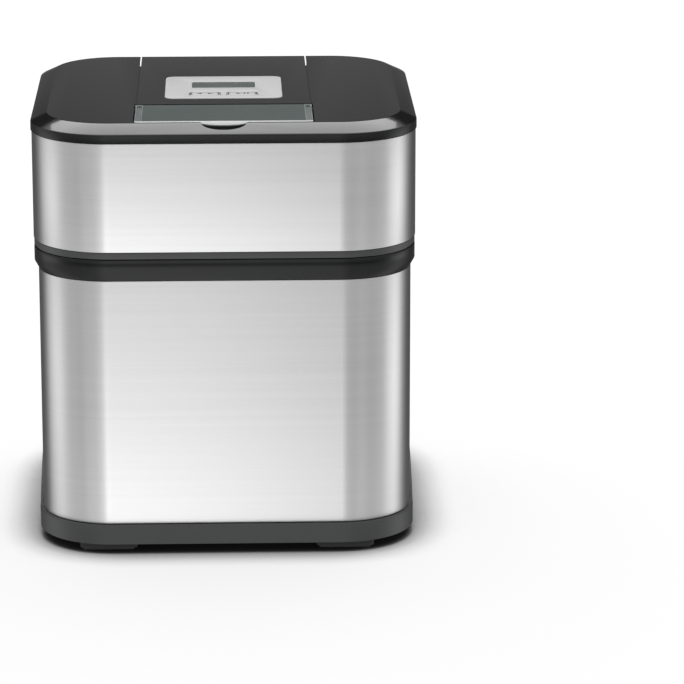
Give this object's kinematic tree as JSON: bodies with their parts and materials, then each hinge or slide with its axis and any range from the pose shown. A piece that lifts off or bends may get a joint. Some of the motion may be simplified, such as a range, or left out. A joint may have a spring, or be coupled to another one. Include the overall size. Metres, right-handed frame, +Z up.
{
  "type": "ice cream maker",
  "caption": "Square countertop ice cream maker: steel housing with a removable double-walled freezer bowl and paddle, under a lift-off motor head with a filling flap.",
  "frame": {"origin": "centre of the footprint, on the plane that the feet stand on", "axes": "+X to the object's right seen from the front, +Y to the back, +Z up; the filling flap and the control buttons are read from -Y"},
  "size_m": [0.2, 0.2, 0.228],
  "materials": {
    "brushed_steel": "horizontally brushed, satin",
    "cover_plastic": "satin dark grey moulding",
    "trim_plastic": "satin near-black moulding",
    "base_plastic": "satin dark grey moulding",
    "rubber": "matt",
    "liner_plastic": "fine moulded texture",
    "bowl_aluminium": "satin anodised",
    "coolant": "sealed filling",
    "paddle_plastic": "moulded",
    "smoked_plastic": "clear smoked plastic, polished",
    "silver_plastic": "silver lacquered plastic",
    "lcd_window": "polished display window",
    "lcd_module": "display glass",
    "board": "solder resist",
    "gear_plastic": "moulded acetal",
    "shaft_steel": "plain steel",
    "bush_bronze": "sintered bronze",
    "motor_can": "zinc-plated can",
    "black_plastic": "moulded"
  },
  "bodies": {
    "base_unit": {"base_ring": "base_plastic", "base_plate": "base_plastic", "lower_steel_shell": "brushed_steel", "collar": "trim_plastic", "liner": "liner_plastic", "foot_front_left": "rubber", "foot_front_right": "rubber", "foot_rear_right": "rubber", "foot_rear_left": "rubber", "base_screw_1": "shaft_steel", "base_screw_2": "shaft_steel", "base_screw_3": "shaft_steel", "base_screw_4": "shaft_steel"},
    "bowl": {"bowl_outer_wall": "bowl_aluminium", "bowl_inner_wall": "bowl_aluminium", "bowl_rim": "trim_plastic", "coolant": "coolant"},
    "paddle": {"paddle": "paddle_plastic"},
    "head": {"top_cover": "cover_plastic", "console_panel": "cover_plastic", "upper_steel_band": "brushed_steel", "head_tray": "trim_plastic", "fill_chute": "trim_plastic", "flap_pin_left": "shaft_steel", "flap_pin_right": "shaft_steel", "switch_left": "black_plastic", "switch_right": "black_plastic", "head_screw_1": "shaft_steel", "head_screw_2": "shaft_steel", "head_screw_3": "shaft_steel", "head_screw_4": "shaft_steel", "control_plate": "silver_plastic", "lcd_window": "lcd_window", "lcd_module": "lcd_module", "circuit_board": "board", "gear_case": "liner_plastic", "gear_case_cover": "liner_plastic", "gear_case_screw_1": "shaft_steel", "gear_case_screw_2": "shaft_steel", "gear_case_screw_3": "shaft_steel", "motor": "motor_can", "output_bush": "bush_bronze", "gear_axle": "shaft_steel", "power_inlet": "black_plastic", "power_lead": "black_plastic", "motor_lead": "black_plastic"},
    "drive": {"output_shaft": "shaft_steel", "output_gear": "gear_plastic"},
    "intermediate": {"intermediate_gear": "gear_plastic"},
    "rotor": {"motor_pinion": "gear_plastic"},
    "flap": {"fill_flap": "smoked_plastic"},
    "button_left": {"button_left": "silver_plastic"},
    "button_right": {"button_right": "silver_plastic"}
  },
  "joints": [
    {"name": "head_lift", "type": "slide", "parent": "base_unit", "child": "head", "axis": [0, 0, 1], "range_m": [0, 0.17]},
    {"name": "bowl_lift", "type": "slide", "parent": "base_unit", "child": "bowl", "axis": [0, 0, 1], "range_m": [0, 0.085]},
    {"name": "paddle_spin", "type": "hinge", "parent": "bowl", "child": "paddle", "pos_m": [0, 0, 0.04], "axis": [0, 0, 1], "continuous": true},
    {"name": "drive_spin", "type": "hinge", "parent": "head", "child": "drive", "pos_m": [0, 0, 0.16], "axis": [0, 0, 1], "continuous": true},
    {"name": "intermediate_spin", "type": "hinge", "parent": "head", "child": "intermediate", "pos_m": [0, 0.03, 0.17], "axis": [0, 0, 1], "continuous": true},
    {"name": "rotor_spin", "type": "hinge", "parent": "head", "child": "rotor", "pos_m": [-0.03, 0.03, 0.18], "axis": [0, 0, 1], "continuous": true},
    {"name": "flap_hinge", "type": "hinge", "parent": "head", "child": "flap", "pos_m": [0, -0.0466, 0.2249], "axis": [-1, 0, 0], "range_deg": [0, 100]},
    {"name": "button_left_press", "type": "slide", "parent": "head", "child": "button_left", "axis": [0, 0, -1], "range_m": [0, 0.0008], "stiffness_N_per_m": 600, "springref_m": -0.0008},
    {"name": "button_right_press", "type": "slide", "parent": "head", "child": "button_right", "axis": [0, 0, -1], "range_m": [0, 0.0008], "stiffness_N_per_m": 600, "springref_m": -0.0008}
  ],
  "couplings": [
    {"joint": "bowl_lift", "follows": "head_lift", "ratio": 0.5},
    {"joint": "paddle_spin", "follows": "drive_spin", "ratio": 1},
    {"joint": "intermediate_spin", "follows": "drive_spin", "ratio": -3},
    {"joint": "rotor_spin", "follows": "drive_spin", "ratio": 9}
  ]
}
